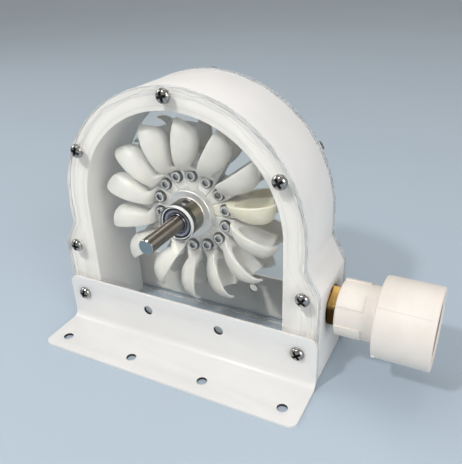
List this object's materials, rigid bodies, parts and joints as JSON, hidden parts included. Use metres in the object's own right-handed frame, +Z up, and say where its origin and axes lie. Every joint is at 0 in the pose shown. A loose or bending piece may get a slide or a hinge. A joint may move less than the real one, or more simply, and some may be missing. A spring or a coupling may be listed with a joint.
{
  "type": "small impulse turbine",
  "caption": "Bench-size impulse turbine: a bucket runner on a shaft in an arch housing with clear covers, angle feet, a nozzle nipple and a pipe adapter.",
  "frame": {"origin": "on the ground, under the middle of the whole object's box", "axes": "+X towards the pipe adapter, -Y towards the long end of the shaft, +Z up"},
  "size_m": [0.2064, 0.1086, 0.1472],
  "materials": {
    "housing_plastic": "white printed plastic, satin",
    "clear_acrylic": "clear polished acrylic sheet",
    "bracket_paint": "white powder coat on steel sheet",
    "plated_screw": "nickel-plated steel",
    "bearing_steel": "ground bearing steel",
    "nipple_brass": "machined brass",
    "adapter_pvc": "moulded warm white pipe plastic",
    "shaft_steel": "brushed round bar",
    "coupling_steel": "turned bright steel",
    "bucket_plastic": "moulded ivory plastic, semi-gloss"
  },
  "bodies": {
    "frame": {"housing": "housing_plastic", "front_cover": "clear_acrylic", "rear_cover": "clear_acrylic", "front_bracket": "bracket_paint", "rear_bracket": "bracket_paint", "screw_top": "plated_screw", "screw_upper_left": "plated_screw", "screw_upper_right": "plated_screw", "screw_lower_left": "plated_screw", "screw_lower_right": "plated_screw", "screw_bracket_left": "plated_screw", "screw_bracket_right": "plated_screw", "nut_top": "plated_screw", "nut_upper_left": "plated_screw", "nut_upper_right": "plated_screw", "nut_lower_left": "plated_screw", "nut_lower_right": "plated_screw", "nut_bracket_left": "plated_screw", "nut_bracket_right": "plated_screw", "front_bearing_outer": "bearing_steel", "rear_bearing_outer": "bearing_steel", "nozzle_nipple": "nipple_brass", "pipe_adapter": "adapter_pvc"},
    "runner": {"shaft": "shaft_steel", "coupling": "coupling_steel", "hub_disc": "bucket_plastic", "front_bearing_inner": "bearing_steel", "rear_bearing_inner": "bearing_steel", "bucket_01": "bucket_plastic", "bucket_02": "bucket_plastic", "bucket_03": "bucket_plastic", "bucket_04": "bucket_plastic", "bucket_05": "bucket_plastic", "bucket_06": "bucket_plastic", "bucket_07": "bucket_plastic", "bucket_08": "bucket_plastic", "bucket_09": "bucket_plastic", "bucket_10": "bucket_plastic", "bucket_11": "bucket_plastic", "bucket_12": "bucket_plastic", "bucket_13": "bucket_plastic", "bucket_14": "bucket_plastic"}
  },
  "joints": [
    {"name": "runner_spin", "type": "hinge", "parent": "frame", "child": "runner", "pos_m": [-0.0257, 0, 0.0783], "axis": [0, 1, 0], "continuous": true}
  ]
}
